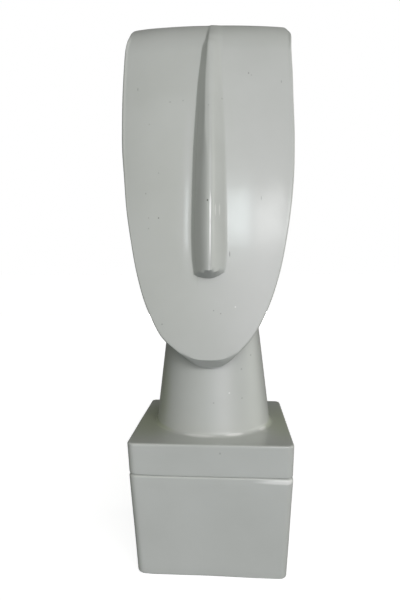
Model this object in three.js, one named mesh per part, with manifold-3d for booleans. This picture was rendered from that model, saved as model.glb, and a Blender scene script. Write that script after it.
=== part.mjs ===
// Abstract head sculpture: a shield-shaped face with nothing on it but a long
// wedge nose, leaning back on a round tapering neck, standing on a square
// plinth that narrows downward. Millimetres, +Z up, the face looks along -Y,
// the origin is the centre of the plinth's underside.
//
// Two pieces: the upper casting (head, neck and the plinth's cap slab are one
// body, the neck runs into the slab in a small fillet) and the plinth block
// below the seam that runs round the plinth.
import * as THREE from 'three';
import Module from 'manifold-3d';
import { mergeVertices } from 'three/addons/utils/BufferGeometryUtils.js';

// Sizes, mm
// Plinth
const BLOCK_HEIGHT = 111;
const CAP_HEIGHT = 34.5;
const CAP_TOP_HALF = 87.3; // half the width of the slab's top face
const CAP_TAPER = 0.0456; // inward per millimetre of depth below the top
const BLOCK_TAPER = 0.0578;
// what the left and the right side stand in from there, as [at the foot, at the top]
const CAP_LEFT_TRIM = [0.1, -0.2];
const CAP_RIGHT_TRIM = [0.1, 0.5];
const BLOCK_LEFT_TRIM = [0.9, -0.3];
const BLOCK_RIGHT_TRIM = [-1.0, -0.6];
const BACK_RIGHT_R = 7.5; // the plinth's four upright corners
const BACK_LEFT_R = 6.5;
const FRONT_LEFT_R = 8;
const FRONT_RIGHT_R = 8;
const CAP_TOP_R = 2.2;
const CAP_FOOT_R = 1.0;
const BLOCK_TOP_R = 2.6;
const BLOCK_FOOT_R = 2.4;

// Neck
const NECK_Y = 4; // the neck's axis stands this far behind the centre
const NECK_FOOT_R = 67.3;
const NECK_SLOPE = 0.1197; // radius lost per millimetre of height
const NECK_FILLET = 4;
const NECK_SUNK = 4; // how far the neck reaches down into the cap slab
const NECK_TOP_Z = 318; // hidden in the head

// Head, front view: half outline from the middle of the top edge down to the
// chin as [half width, z]. The two top corners differ by hand.
const HEAD_TOP_Z = 617.3;
const CHIN_Z = 220;
const TOP_RIGHT = [[26, 617], [52, 616.8], [71, 616.8]];
const TOP_LEFT = [[26, 618.8], [50, 620.2], [67, 621.5]];
const CORNER_RIGHT = [[84.5, 616.8], [92.6, 616], [95.4, 610.8], [97.4, 601.4]];
const CORNER_LEFT = [[81, 622.2], [92.9, 620.6], [95.6, 613.4], [94.9, 602.2]];
const SIDE = [
  [96.8, 579], [97.8, 548], [98.1, 515], [98.1, 488], [97.2, 461], [95.1, 426],
  [91.5, 391.6], [86.1, 357.8], [79.1, 324.4], [68.7, 291.6], [58.8, 270.2],
  [50.6, 256], [43.4, 247.3], [35.2, 240], [28, 233.5], [21.4, 227.4],
  [15.5, 223.4], [9.7, 221.1], [4.7, 220.3], [0, CHIN_Z],
];
// what the left side stands in from the right one's width, as [z, trim]
const LEFT_TRIM = [
  [280, 0.1], [301, 0.4], [324, 0.9], [350, 1.0], [370, 0.8], [392, 0.5], [415, 0.6],
  [440, 0], [461, -0.6], [490, 0],
];
const HALF_WIDTH = 98.1; // the widest half width
// where one side of the outline goes over into the next, as [half width, z]
const TOP_MARK_RIGHT = [94.6, 613.2];
const TOP_MARK_LEFT = [95.2, 615.6];
const JAW_MARK = [68, 288];
const WAIST_Z = 450; // where the head is neither top nor jaw
const LEAN_X_LOW = -4.3; // the head sits a little to its right
const LEAN_X_TOP = -6.3;
const LEAN_X_RISE_Z = [420, 530]; // and goes over from the one to the other here
const CHIN_X = -1.5;
const CHIN_X_RISE_Z = [226, 256];

// Head, side view
const FACE_FOOT_Z = 222.4; // the face's lean and fullness are counted between these
const FACE_HEAD_Z = 606.4;
const FACE_CHIN_Y = -72;
const FACE_LEAN = 0.19; // the face leans back, mm per mm
const FACE_BELLY = 4; // fullness of the face between chin and top
const FACE_PLAN_R = 390; // the face's curve from side to side
const EDGE_R = 3.2; // rounding round the face
const JAW_EDGE_R = 2; // and along the jaw
const JAW_EDGE_Z = [380, 470];
const TOP_ROLL = 5; // larger roll along the top, which the face goes over into
const TOP_ROLL_Z = [588, 612.6];
const TOP_LEAN_Z = 574.5; // from here up the face falls back more and more,
const TOP_LEAN = 1; // by this much more per millimetre at the roll
const CHIN_BEVEL = 8.1; // extra height of the crescent facet under the chin
const CHIN_BEVEL_DEPTH = 9;
const CHIN_BEVEL_HALF = 31;
const CHIN_BEVEL_TOP_Z = 262;
const BACK_Y = 79.5;
const BACK_HOLLOW = 24; // the nape comes forward by this much
const BACK_PLAN_R = 400;
const BACK_ROUND = 14;
const BACK_SHRINK = 0.965; // the back is this much narrower than the face,
const BACK_JAW_SHRINK = 0.42; // and narrower still at the jaw
const BACK_TOP_DROP = 5;
const BACK_JAW_RISE = 48;

// Nose: [z, left crease x, the flank's upper edge x, ridge x, right crease x]
const NOSE = [
  [321, -18.5, -6.2, 0.4, 14.6], [327, -19, -6.4, 0.6, 15.5], [335, -20, -6.8, 0.9, 16.2],
  [348, -20.9, -7.2, 1.2, 16.6], [367.5, -21.4, -7.4, 1.4, 16.5], [400, -21.2, -7.5, 1.4, 16],
  [434, -20.7, -7.4, 1.2, 15.6], [462, -20, -7.1, 0.9, 15.1], [491, -18.5, -6.9, 0.4, 14.1],
  [514, -17.2, -6.9, 0, 12.9], [537.5, -15.6, -6.7, -0.3, 11.9], [561, -13, -5.7, -0.6, 11.2],
  [576, -11.4, -4.9, -0.6, 10.6], [586, -8.5, -4.3, -0.5, 10.5], [594, -7.2, -3.7, -0.1, 10.5],
  [606, -5.8, -2.6, 0.5, 10.4],
];
const NOSE_FLANK_SLOPE = 1.5; // the flank on its right hand is the steeper
const NOSE_CREST_SLOPE = 0.25; // from the flank's upper edge to the ridge
const NOSE_SOFT_Z = [430, 492]; // the nose's edges are rounded by these widths, low and high
const NOSE_FLANK_ROUND = [6, 1.2];
const NOSE_RIDGE_ROUND = [5.5, 5];
const NOSE_FADE_Z = [588, 607]; // the nose sinks into the face by this share toward the top
const NOSE_FADE = 0.62;
// the line where the nose's underside meets the face, as [x, z]
const NOSE_FOOT = [
  [-22, 322.2], [-18.5, 320.8], [-15.8, 319.4], [-11.5, 318.1], [-5.1, 317.1], [1.3, 317.3],
  [7.7, 319.5], [14.1, 322.8], [18, 324.6],
];
const NOSE_UNDER_SLOPE = 3.3;
const NOSE_UNDER_LEVELS = [-1.5, 0.8, 2.6, 4.4, 6.4]; // rings counted from the foot line's lowest place
const NOSE_SINK = 2; // how deep the nose's rim is sunk into the face
const NOSE_TOP_SUNK = 2.6; // how far above the last level the nose has sunk in
const NOSE_ROOT = 14; // how far the nose body reaches into the head

// Mesh fineness
const GRID_U = 20;
const GRID_V = 30;
const EDGE_TURNS = 4;
const NECK_SIDES = 72;

// Helpers
const lerp = (a, b, t) => a + (b - a) * t;
const smooth = (a, b, v) => {
  const t = Math.min(1, Math.max(0, (v - a) / (b - a)));
  return t * t * (3 - 2 * t);
};

/** Reads a value between the rows of a list of [place, value]. */
function between(rows, at, column = 1) {
  const up = rows[0][0] < rows[rows.length - 1][0] ? rows : [...rows].reverse();
  if (at <= up[0][0]) return up[0][column];
  for (let i = 1; i < up.length; i++) {
    if (at <= up[i][0]) {
      return lerp(up[i - 1][column], up[i][column], (at - up[i - 1][0]) / (up[i][0] - up[i - 1][0]));
    }
  }
  return up[up.length - 1][column];
}

/** The lower of two heights, rounded off where they cross. */
function softMin(a, b, width) {
  const h = Math.min(1, Math.max(0, 0.5 + 0.5 * (b - a) / width));
  return b + (a - b) * h - width * h * (1 - h);
}

/** A closed mesh from plain vertex and triangle lists. */
function body(vertices, triangles) {
  const geometry = new THREE.BufferGeometry();
  geometry.setAttribute('position', new THREE.Float32BufferAttribute(vertices.flat(), 3));
  geometry.setIndex(triangles.flat());
  return geometry;
}

/** Stacks rings of equal length into a closed body with flat ends.
 *  Rings run counter-clockwise seen from above, the lowest ring first. */
function stack(rings) {
  const vertices = rings.flat();
  const n = rings[0].length;
  const triangles = [];
  for (let k = 0; k + 1 < rings.length; k++) {
    for (let i = 0; i < n; i++) {
      const j = (i + 1) % n;
      const a = k * n + i;
      const b = k * n + j;
      triangles.push([a, b, b + n], [a, b + n, a + n]);
    }
  }
  const top = (rings.length - 1) * n;
  for (let i = 1; i + 1 < n; i++) {
    triangles.push([0, i + 1, i], [top, top + i, top + i + 1]);
  }
  return body(vertices, triangles);
}

/** One level of the plinth: a square with rounded corners, from the back right
 *  corner round to the back left, front left and front right. */
function squareRing(half, left, right, inset, z) {
  const ring = [];
  const steps = 5;
  const corners = [
    [1, 1, BACK_RIGHT_R], [-1, 1, BACK_LEFT_R], [-1, -1, FRONT_LEFT_R], [1, -1, FRONT_RIGHT_R],
  ];
  corners.forEach(([sx, sy, radius], quarter) => {
    const reach = half - (sx > 0 ? right : left);
    for (let i = 0; i <= steps; i++) {
      const a = (quarter + i / steps) * Math.PI / 2;
      const round = radius - inset;
      ring.push([
        sx * (reach - radius) + round * Math.cos(a),
        sy * (half - radius) + round * Math.sin(a),
        z,
      ]);
    }
  });
  return ring;
}

/** A tapered square slab with rounded edges at top and foot. */
function slab(zFoot, zTop, halfTop, taper, leftTrim, rightTrim, footRadius, topRadius) {
  const rings = [];
  const steps = 3;
  const level = (z, inset) => {
    const rise = (z - zFoot) / (zTop - zFoot);
    const half = halfTop - taper * (zTop - z);
    rings.push(squareRing(half, lerp(...leftTrim, rise), lerp(...rightTrim, rise), inset, z));
  };
  for (let i = 0; i <= steps; i++) {
    const a = (i / steps) * Math.PI / 2;
    level(zFoot + footRadius * (1 - Math.cos(a)), footRadius * (1 - Math.sin(a)));
  }
  for (let i = 0; i <= steps; i++) {
    const a = (i / steps) * Math.PI / 2;
    level(zTop - topRadius * (1 - Math.sin(a)), topRadius * (1 - Math.cos(a)));
  }
  return stack(rings);
}

// The head
/** How far the head's middle stands aside at a height. */
function middleX(z) {
  const upper = lerp(LEAN_X_LOW, LEAN_X_TOP, smooth(...LEAN_X_RISE_Z, z));
  return lerp(CHIN_X, upper, smooth(...CHIN_X_RISE_Z, z));
}

/** The face's surface without the nose. */
function faceY(x, z) {
  const s = (z - FACE_FOOT_Z) / (FACE_HEAD_Z - FACE_FOOT_Z);
  const belly = FACE_BELLY * 4 * s * (1 - s);
  const above = Math.max(0, z - TOP_LEAN_Z);
  const roll = TOP_LEAN * above * above / (2 * (HEAD_TOP_Z - TOP_ROLL - TOP_LEAN_Z));
  return FACE_CHIN_Y + FACE_LEAN * (z - FACE_FOOT_Z) - belly + x * x / (2 * FACE_PLAN_R) + roll;
}

/** The back of the head. */
function backY(x, z) {
  const s = (HEAD_TOP_Z - z) / (HEAD_TOP_Z - CHIN_Z - BACK_JAW_RISE);
  return BACK_Y - BACK_HOLLOW * s * s - x * x / (2 * BACK_PLAN_R);
}

/** The closed outline seen from the front, as stations of a smooth curve:
 *  along the top, down its left side, round the jaw and up its right side. */
function frontOutline() {
  const right = [...CORNER_RIGHT, ...SIDE];
  const leftSide = SIDE.slice(0, -1).map(([x, z]) => [x - between(LEFT_TRIM, z), z]);
  const left = [...CORNER_LEFT, ...leftSide];
  const points = [
    [0, HEAD_TOP_Z],
    ...TOP_RIGHT,
    ...right,
    ...[...TOP_LEFT, ...left].reverse().map(([x, z]) => [-x, z]),
  ].map(([x, z]) => new THREE.Vector3(x, z, 0));
  const curve = new THREE.CatmullRomCurve3(points, true, 'centripetal');
  const fine = curve.getSpacedPoints(4000).slice(0, -1).map((p) => [p.x, p.y]);
  const nearest = (x, z) => {
    let best = 0;
    fine.forEach(([px, pz], i) => {
      if (Math.hypot(px - x, pz - z) < Math.hypot(fine[best][0] - x, fine[best][1] - z)) best = i;
    });
    return best;
  };
  const marks = [
    nearest(-TOP_MARK_LEFT[0], TOP_MARK_LEFT[1]), nearest(...TOP_MARK_RIGHT),
    nearest(...JAW_MARK), nearest(-JAW_MARK[0], JAW_MARK[1]),
  ];
  const counts = [GRID_U, GRID_V, GRID_U, GRID_V];
  const loop = [];
  marks.forEach((from, side) => {
    let to = marks[(side + 1) % 4];
    if (to < from) to += fine.length;
    for (let i = 0; i < counts[side]; i++) {
      const at = Math.round(from + (to - from) * i / counts[side]) % fine.length;
      loop.push(fine[at]);
    }
  });
  return loop;
}

/** The radius of the face's edge at a height. */
function edgeRadius(z) {
  return lerp(JAW_EDGE_R, EDGE_R, smooth(...JAW_EDGE_Z, z));
}

/** How much of the bevel under the chin a place on the outline has. */
function chinShareAt([x, z]) {
  return z < CHIN_BEVEL_TOP_Z ? Math.max(0, 1 - (x / CHIN_BEVEL_HALF) ** 2) : 0;
}

/** Draws the outline in by a share of the edge rounding. */
function drawnIn([x, z], share) {
  const side = edgeRadius(z) * share;
  const nx = x * (1 - side / HALF_WIDTH);
  let nz;
  if (z > WAIST_Z) {
    nz = WAIST_Z + (z - WAIST_Z) * (1 - TOP_ROLL * share / (HEAD_TOP_Z - WAIST_Z));
  } else {
    nz = WAIST_Z - (WAIST_Z - z) * (1 - side / (WAIST_Z - CHIN_Z));
    nz += CHIN_BEVEL * share * chinShareAt([x, z]);
  }
  return [nx, nz];
}

/** Fills a loop of stations with a grid, returned row by row. */
function filledGrid(loop) {
  const at = (u, v) => {
    if (v === 0) return loop[u];
    if (u === GRID_U) return loop[GRID_U + v];
    if (v === GRID_V) return loop[GRID_U + GRID_V + (GRID_U - u)];
    return loop[(2 * GRID_U + GRID_V + (GRID_V - v)) % loop.length];
  };
  const rows = [];
  for (let v = 0; v <= GRID_V; v++) {
    const row = [];
    for (let u = 0; u <= GRID_U; u++) {
      if (u === 0 || v === 0 || u === GRID_U || v === GRID_V) {
        row.push(at(u, v));
        continue;
      }
      const a = u / GRID_U;
      const b = v / GRID_V;
      row.push([0, 1].map((c) => (1 - a) * at(0, v)[c] + a * at(GRID_U, v)[c]
        + (1 - b) * at(u, 0)[c] + b * at(u, GRID_V)[c]
        - (1 - a) * (1 - b) * at(0, 0)[c] - a * (1 - b) * at(GRID_U, 0)[c]
        - (1 - a) * b * at(0, GRID_V)[c] - a * b * at(GRID_U, GRID_V)[c]));
    }
    rows.push(row);
  }
  return rows;
}

/** The head without its nose: face, rounded edge, sides, rounded back. */
function headBody() {
  const outline = frontOutline();
  const count = outline.length;
  const backLine = outline.map(([x, z]) => {
    const low = Math.max(0, (WAIST_Z - z) / (WAIST_Z - CHIN_Z));
    const high = Math.max(0, (z - WAIST_Z) / (HEAD_TOP_Z - WAIST_Z));
    const width = BACK_SHRINK - BACK_JAW_SHRINK * low * low;
    return [x * width, z + BACK_JAW_RISE * low * low - BACK_TOP_DROP * high];
  });
  const place = ([x, z], y) => [x + middleX(z), y, z];
  const vertices = [];
  const triangles = [];

  // face
  const faceLoop = outline.map((p) => drawnIn(p, 1));
  const face = filledGrid(faceLoop);
  const frontId = face.map((row) => row.map(([x, z]) => {
    vertices.push(place([x, z], faceY(x, z)));
    return vertices.length - 1;
  }));
  for (let v = 0; v < GRID_V; v++) {
    for (let u = 0; u < GRID_U; u++) {
      const [a, b, c, d] = [frontId[v][u], frontId[v][u + 1], frontId[v + 1][u + 1], frontId[v + 1][u]];
      if ((u < GRID_U / 2) === (v < GRID_V / 2)) triangles.push([a, c, b], [a, d, c]);
      else triangles.push([a, d, b], [b, d, c]);
    }
  }
  const loopOf = (id) => {
    const ring = [];
    for (let u = 0; u < GRID_U; u++) ring.push(id[0][u]);
    for (let v = 0; v < GRID_V; v++) ring.push(id[v][GRID_U]);
    for (let u = GRID_U; u > 0; u--) ring.push(id[GRID_V][u]);
    for (let v = GRID_V; v > 0; v--) ring.push(id[v][0]);
    return ring;
  };

  // rounded edge of the face, then the sides, then the rounded edge of the back
  const layers = [];
  const chinShare = outline.map(chinShareAt);
  const topShare = outline.map(([, z]) => smooth(...TOP_ROLL_Z, z));
  const frontEdge = faceLoop.map(([x, z]) => faceY(x, z));
  // along the top the roll starts in the direction in which the face ends
  const start = topShare.map((share) => Math.atan(TOP_LEAN + FACE_LEAN) * share);
  const reach = outline.map(([, z], i) => {
    const roll = TOP_ROLL * Math.cos(start[i]) / (1 - Math.sin(start[i]));
    return lerp(edgeRadius(z), roll, topShare[i]) + CHIN_BEVEL_DEPTH * chinShare[i];
  });
  for (let step = 1; step <= EDGE_TURNS; step++) {
    const turn = step / EDGE_TURNS;
    layers.push(outline.map((p, i) => {
      const a = lerp(start[i], Math.PI / 2, turn);
      const share = lerp((1 - Math.sin(a)) / (1 - Math.sin(start[i])), 1 - turn, chinShare[i]);
      const depth = lerp((Math.cos(start[i]) - Math.cos(a)) / Math.cos(start[i]), turn, chinShare[i]);
      return place(drawnIn(p, share), frontEdge[i] + reach[i] * depth);
    }));
  }
  const shrunk = ([x, z], amount) => {
    const zSpan = z > WAIST_Z ? HEAD_TOP_Z - WAIST_Z : WAIST_Z - CHIN_Z;
    return [x * (1 - amount / HALF_WIDTH), WAIST_Z + (z - WAIST_Z) * (1 - amount / zSpan)];
  };
  const backRim = backLine.map((p) => shrunk(p, BACK_ROUND));
  const backEdge = backLine.map((_, i) => backY(...backRim[i]) - BACK_ROUND);
  for (const along of [0.3, 0.65, 1]) {
    layers.push(outline.map((p, i) => {
      const q = [lerp(p[0], backLine[i][0], along), lerp(p[1], backLine[i][1], along)];
      return place(q, lerp(frontEdge[i] + reach[i], backEdge[i], along));
    }));
  }
  const steps = 3;
  let backLoop = backLine;
  for (let k = 1; k <= steps; k++) {
    const a = (k / steps) * Math.PI / 2;
    backLoop = backLine.map((p) => shrunk(p, BACK_ROUND * (1 - Math.cos(a))));
    if (k < steps) {
      layers.push(backLoop.map((p, i) => place(p, backEdge[i] + BACK_ROUND * Math.sin(a))));
    }
  }
  let ring = loopOf(frontId);
  for (const layer of layers) {
    const first = vertices.length;
    vertices.push(...layer);
    const next = layer.map((_, i) => first + i);
    for (let i = 0; i < count; i++) {
      const j = (i + 1) % count;
      triangles.push([ring[i], ring[j], next[j]], [ring[i], next[j], next[i]]);
    }
    ring = next;
  }

  // back
  const back = filledGrid(backLoop);
  const backId = back.map((row) => row.map(([x, z]) => {
    vertices.push(place([x, z], backY(x, z)));
    return vertices.length - 1;
  }));
  const last = loopOf(backId);
  for (let i = 0; i < count; i++) {
    const j = (i + 1) % count;
    triangles.push([ring[i], ring[j], last[j]], [ring[i], last[j], last[i]]);
  }
  for (let v = 0; v < GRID_V; v++) {
    for (let u = 0; u < GRID_U; u++) {
      const [a, b, c, d] = [backId[v][u], backId[v][u + 1], backId[v + 1][u + 1], backId[v + 1][u]];
      triangles.push([a, b, c], [a, c, d]);
    }
  }
  return body(vertices, triangles);
}

/** How far the nose stands off the face. Three planes bound it across: a steep
 *  flank, a nearly level crest and the fall from the ridge to the right crease;
 *  a fourth cuts it off under the tip. Below 0 it lies inside the face. */
function noseHeight(x, z) {
  const [left, top, ridge, right] = [1, 2, 3, 4].map((column) => between(NOSE, z, column));
  const upper = smooth(...NOSE_SOFT_Z, z);
  const flankHeight = NOSE_FLANK_SLOPE * (top - left);
  const ridgeHeight = flankHeight + NOSE_CREST_SLOPE * (ridge - top);
  const flank = NOSE_FLANK_SLOPE * (x - left);
  const crest = flankHeight + NOSE_CREST_SLOPE * (x - top);
  const fall = (right - x) * ridgeHeight / (right - ridge);
  const across = softMin(softMin(crest, fall, lerp(...NOSE_RIDGE_ROUND, upper)), flank, lerp(...NOSE_FLANK_ROUND, upper));
  const height = Math.min(across, (z - between(NOSE_FOOT, x)) * NOSE_UNDER_SLOPE);
  return height * (1 - NOSE_FADE * smooth(...NOSE_FADE_Z, z));
}

/** The nose: a long wedge, its sections drawn from the height function. */
function noseBody() {
  const ring = (z, sink) => {
    const [left, top, ridge, right] = [1, 2, 3, 4].map((column) => between(NOSE, z, column));
    const places = [
      left, lerp(left, top, 0.4), lerp(left, top, 0.8), top, lerp(top, ridge, 0.4), ridge,
      lerp(ridge, right, 0.2), lerp(ridge, right, 0.5), right,
    ];
    const rim = (x) => (x === left ? -NOSE_SINK / NOSE_FLANK_SLOPE : x === right ? NOSE_SINK : 0);
    const front = places.map((x) => {
      const height = Math.max(noseHeight(x + rim(x), z), -NOSE_SINK) - sink;
      return [x + rim(x), faceY(x - middleX(z), z) - height, z];
    });
    const back = [right, left].map((x) => [x, faceY(x - middleX(z), z) + NOSE_ROOT, z]);
    return [...front, ...back];
  };
  const lowest = Math.min(...NOSE_FOOT.map(([, z]) => z));
  const under = NOSE_UNDER_LEVELS.map((level) => lowest + level);
  const levels = NOSE.map(([z]) => z).filter((z) => z > under[under.length - 1] + 1);
  const last = levels[levels.length - 1];
  return stack([
    ...[...under, ...levels].map((z) => ring(z, 0)),
    ring(last + NOSE_TOP_SUNK, 2 * NOSE_SINK),
  ]);
}

/** The neck: a round tapering column whose foot flares in a small fillet. */
function neckBody() {
  const zFoot = BLOCK_HEIGHT + CAP_HEIGHT;
  const profile = [[NECK_FOOT_R + NECK_FILLET, zFoot - NECK_SUNK], [NECK_FOOT_R + NECK_FILLET, zFoot]];
  for (let i = 1; i <= 4; i++) {
    const a = (i / 4) * Math.PI / 2;
    const dz = NECK_FILLET * (1 - Math.cos(a));
    profile.push([NECK_FOOT_R + NECK_FILLET * (1 - Math.sin(a)) - NECK_SLOPE * dz, zFoot + dz]);
  }
  profile.push([NECK_FOOT_R - NECK_SLOPE * (NECK_TOP_Z - zFoot), NECK_TOP_Z]);
  return stack(profile.map(([r, z]) => Array.from({ length: NECK_SIDES }, (_, i) => {
    const a = (i / NECK_SIDES) * 2 * Math.PI;
    return [r * Math.cos(a), NECK_Y + r * Math.sin(a), z];
  })));
}

// Joining
const wasm = await Module();
wasm.setup();

/** A solid for joining, from a closed mesh. */
function solid(geometry) {
  const bare = geometry.clone();
  bare.deleteAttribute('normal');
  bare.deleteAttribute('uv');
  const merged = mergeVertices(bare, 1e-4);
  return new wasm.Manifold(new wasm.Mesh({
    numProp: 3,
    vertProperties: new Float32Array(merged.attributes.position.array),
    triVerts: new Uint32Array(merged.index.array),
  }));
}

/** A drawable mesh from a joined solid. */
function shell(joined) {
  const mesh = joined.getMesh();
  const geometry = new THREE.BufferGeometry();
  geometry.setAttribute('position', new THREE.BufferAttribute(new Float32Array(mesh.vertProperties), 3));
  geometry.setIndex(new THREE.BufferAttribute(new Uint32Array(mesh.triVerts), 1));
  geometry.computeVertexNormals();
  return geometry;
}

const capTop = BLOCK_HEIGHT + CAP_HEIGHT;
const cap = slab(BLOCK_HEIGHT, capTop, CAP_TOP_HALF, CAP_TAPER, CAP_LEFT_TRIM, CAP_RIGHT_TRIM, CAP_FOOT_R, CAP_TOP_R);
const blockHalf = CAP_TOP_HALF - CAP_TAPER * CAP_HEIGHT;
const block = slab(0, BLOCK_HEIGHT, blockHalf, BLOCK_TAPER, BLOCK_LEFT_TRIM, BLOCK_RIGHT_TRIM, BLOCK_FOOT_R, BLOCK_TOP_R);
const upper = solid(cap).add(solid(neckBody())).add(solid(headBody())).add(solid(noseBody()));

const group = new THREE.Group();
group.name = 'abstract_head_sculpture';

const glaze = () => new THREE.MeshStandardMaterial({ color: 0xaeb1a9, roughness: 0.3, metalness: 0 });

const upperMesh = new THREE.Mesh(shell(upper), glaze());
upperMesh.name = 'head_neck_and_cap';
group.add(upperMesh);

const blockMesh = new THREE.Mesh(shell(solid(block)), glaze());
blockMesh.name = 'plinth_block';
group.add(blockMesh);

export default group;
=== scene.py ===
"""Looks of the abstract head sculpture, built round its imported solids.

The upper casting (head, neck and the plinth's cap slab) and the plinth block
are each made again as one fine closed surface from the same sizes as the
solids, in a pale grey glaze. Sizes are in millimetres in the classes and in
metres in the meshes. +Z is up and the face looks along -Y.
"""

import logging
from dataclasses import dataclass, field
from enum import Enum

import bpy
import numpy as np
from mathutils import Matrix


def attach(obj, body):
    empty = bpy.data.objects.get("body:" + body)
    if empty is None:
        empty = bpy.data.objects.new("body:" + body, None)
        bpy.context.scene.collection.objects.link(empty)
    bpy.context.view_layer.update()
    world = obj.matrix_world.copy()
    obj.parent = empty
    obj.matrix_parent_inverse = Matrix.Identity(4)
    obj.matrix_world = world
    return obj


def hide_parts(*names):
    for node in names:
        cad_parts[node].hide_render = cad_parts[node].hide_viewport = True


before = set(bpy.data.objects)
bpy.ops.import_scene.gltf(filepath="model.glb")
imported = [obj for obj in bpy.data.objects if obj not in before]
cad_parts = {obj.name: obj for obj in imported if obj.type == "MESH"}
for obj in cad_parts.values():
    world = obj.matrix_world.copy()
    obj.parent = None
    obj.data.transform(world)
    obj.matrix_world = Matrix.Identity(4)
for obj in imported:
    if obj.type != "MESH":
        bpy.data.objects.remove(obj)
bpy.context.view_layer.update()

LOG = logging.getLogger("head_sculpture")
MM = 0.001
SEAM_Z = 111.0
CREASE_DEGREES = 38.0

Array = np.ndarray


# Curves and blends


def smooth_step(low: Array, high: Array, value: Array) -> Array:
    """Returns 0 below low and 1 above high, with a smooth S between them."""
    t = np.clip((np.asarray(value, float) - low) / (high - low), 0.0, 1.0)
    return t * t * (3.0 - 2.0 * t)


def soft_min(a: Array, b: Array, width: Array) -> Array:
    """Takes the lower of two heights, rounded off where they cross.

    The two are blended by a parabola over the stretch where they differ by
    less than width, which lowers the crossing by a quarter of width.

    Args:
        a: first height.
        b: second height.
        width: difference over which the corner is rounded.

    Returns:
        The rounded lower height.
    """
    h = np.clip(0.5 + 0.5 * (b - a) / width, 0.0, 1.0)
    return b + (a - b) * h - width * h * (1.0 - h)


def soft_floor(a: Array, width: Array) -> Array:
    """Cuts a height off at zero, with a hollow fillet where it meets zero."""
    return -soft_min(-a, np.zeros_like(a), width)


def smooth_through(knots: tuple, values: tuple, at: Array) -> Array:
    """Draws a smooth line through knots with cubic pieces.

    Each piece is a Hermite cubic whose end slopes are the mean of the slopes
    of the straight pieces on both sides of the knot.

    Args:
        knots: rising positions.
        values: values at the knots.
        at: positions wanted; held at the end values outside the knots.

    Returns:
        The values at those positions.
    """
    x = np.asarray(knots, float)
    y = np.asarray(values, float)
    chord = np.diff(y) / np.diff(x)
    slope = np.concatenate(([chord[0]], 0.5 * (chord[1:] + chord[:-1]), [chord[-1]]))
    q = np.clip(np.asarray(at, float), x[0], x[-1])
    k = np.clip(np.searchsorted(x, q, side="right") - 1, 0, len(x) - 2)
    span = x[k + 1] - x[k]
    t = (q - x[k]) / span
    return (
        (2 * t**3 - 3 * t**2 + 1) * y[k]
        + (t**3 - 2 * t**2 + t) * span * slope[k]
        + (3 * t**2 - 2 * t**3) * y[k + 1]
        + (t**3 - t**2) * span * slope[k + 1]
    )


def closed_curve(points: Array, steps: int) -> Array:
    """Runs a smooth closed curve through points.

    A centripetal Catmull-Rom spline: between two points the curve is the
    cubic whose end directions are set by the points before and after them,
    with each chord counted by the root of its length.

    Args:
        points: the points, one row each, not repeated at the end.
        steps: samples on each stretch between two points.

    Returns:
        The sampled curve, one row for each sample, not closed at the end.
    """
    p0, p1, p2, p3 = (np.roll(points, shift, axis=0) for shift in (1, 0, -1, -2))
    d0, d1, d2 = (
        np.sqrt(np.linalg.norm(b - a, axis=1))[:, None] for a, b in ((p0, p1), (p1, p2), (p2, p3))
    )
    m1 = ((p1 - p0) / d0 - (p2 - p0) / (d0 + d1) + (p2 - p1) / d1) * d1
    m2 = ((p2 - p1) / d1 - (p3 - p1) / (d1 + d2) + (p3 - p2) / d2) * d1
    t = (np.arange(steps) / steps)[None, :, None]
    p1, p2, m1, m2 = (v[:, None, :] for v in (p1, p2, m1, m2))
    run = (
        (2 * t**3 - 3 * t**2 + 1) * p1
        + (t**3 - 2 * t**2 + t) * m1
        + (3 * t**2 - 2 * t**3) * p2
        + (t**3 - t**2) * m2
    )
    return run.reshape(-1, points.shape[1])


def stations(count: int, density: Array) -> Array:
    """Spreads stations over 0 to 1 so that they crowd where density is high.

    The running total of the density, read backwards at even steps.

    Args:
        count: number of steps.
        density: how close the stations lie, sampled evenly from 0 to 1.

    Returns:
        One more station than there are steps, from 0 to 1.
    """
    grid = np.linspace(0.0, 1.0, len(density))
    total = np.concatenate(([0.0], np.cumsum(0.5 * (density[1:] + density[:-1]))))
    return np.interp(np.linspace(0.0, total[-1], count + 1), total, grid)


def filled(loop: Array, across: Array, down: Array) -> Array:
    """Fills a loop with a grid.

    Each inner point is the blend of its left and right edge points plus the
    blend of its top and bottom edge points, less the blend of the four
    corners (a Coons patch).

    Args:
        loop: edge points in order along the top, the right side, the bottom
            and the left side.
        across: the columns' shares from left to right, from 0 to 1.
        down: the rows' shares from top to bottom, from 0 to 1.

    Returns:
        The grid as rows by columns by coordinates.
    """
    nu = len(across) - 1
    nv = len(down) - 1
    round_trip = np.concatenate((loop, loop[:1]))
    top = round_trip[: nu + 1]
    right = round_trip[nu : nu + nv + 1]
    bottom = round_trip[nu + nv : 2 * nu + nv + 1][::-1]
    left = round_trip[2 * nu + nv : 2 * nu + 2 * nv + 1][::-1]
    a = across[None, :, None]
    b = down[:, None, None]
    sides = (1 - a) * left[:, None] + a * right[:, None]
    ends = (1 - b) * top[None] + b * bottom[None]
    upper = (1 - a) * top[0] + a * top[-1]
    lower = (1 - a) * bottom[0] + a * bottom[-1]
    corners = (1 - b) * upper + b * lower
    return sides + ends - corners


# Meshes


def ring_faces(first: Array, second: Array) -> Array:
    """Joins two closed rings of vertex numbers by a band of four-sided faces."""
    return np.stack((first, np.roll(first, -1), np.roll(second, -1), second), axis=-1).reshape(-1, 4)


def grid_faces(ids: Array) -> Array:
    """Covers a grid of vertex numbers with four-sided faces."""
    quads = (ids[:-1, :-1], ids[:-1, 1:], ids[1:, 1:], ids[1:, :-1])
    return np.stack(quads, axis=-1).reshape(-1, 4)


def grid_rim(ids: Array) -> Array:
    """Lists the numbers on a grid's rim: top, right side, bottom, left side."""
    return np.concatenate((ids[0, :-1], ids[:-1, -1], ids[-1, :0:-1], ids[:0:-1, 0]))


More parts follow.
